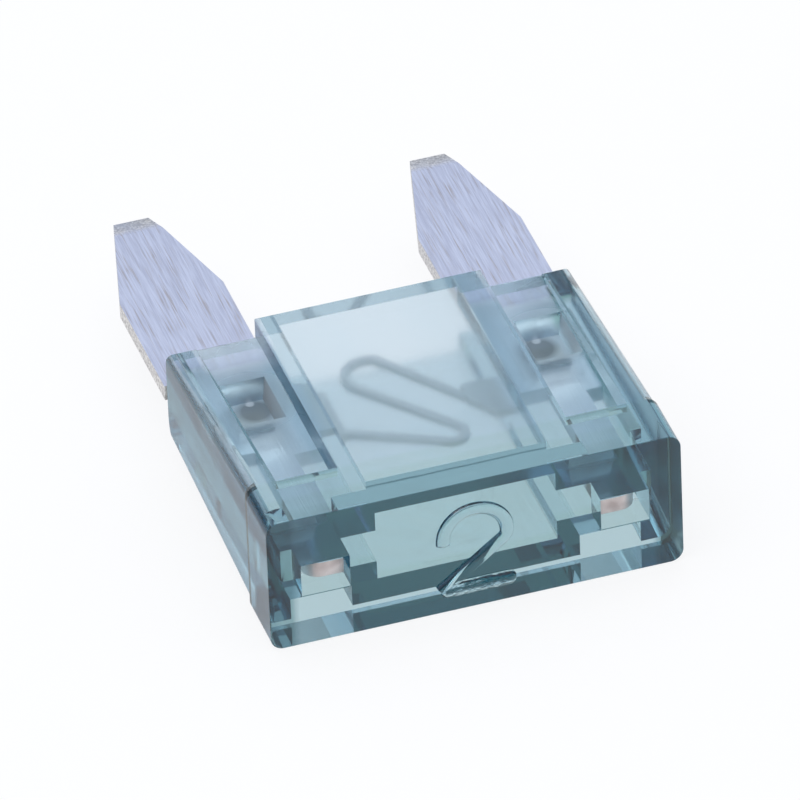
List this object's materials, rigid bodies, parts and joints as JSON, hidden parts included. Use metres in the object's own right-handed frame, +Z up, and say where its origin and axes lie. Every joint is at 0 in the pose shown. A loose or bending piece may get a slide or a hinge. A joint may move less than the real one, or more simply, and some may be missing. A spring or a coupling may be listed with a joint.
{
  "type": "miniature blade fuse",
  "caption": "Clear flat plastic body with tapered flat metal blades standing out of one end, joined inside by a thin S-shaped fuse link.",
  "frame": {"origin": "middle of the footprint, on the surface that the fuse lies on", "axes": "+Y from the head face towards the blade tips, +X across the blades, +Z up from the broad face that it lies on"},
  "size_m": [0.011, 0.0164, 0.0039],
  "materials": {
    "clear_plastic": "clear grey-teal moulded plastic with polished faces",
    "fuse_metal": "bright plated zinc strip with fine rolling lines along the blades"
  },
  "bodies": {
    "root": {"housing": "clear_plastic", "fuse_element": "fuse_metal"}
  },
  "joints": []
}
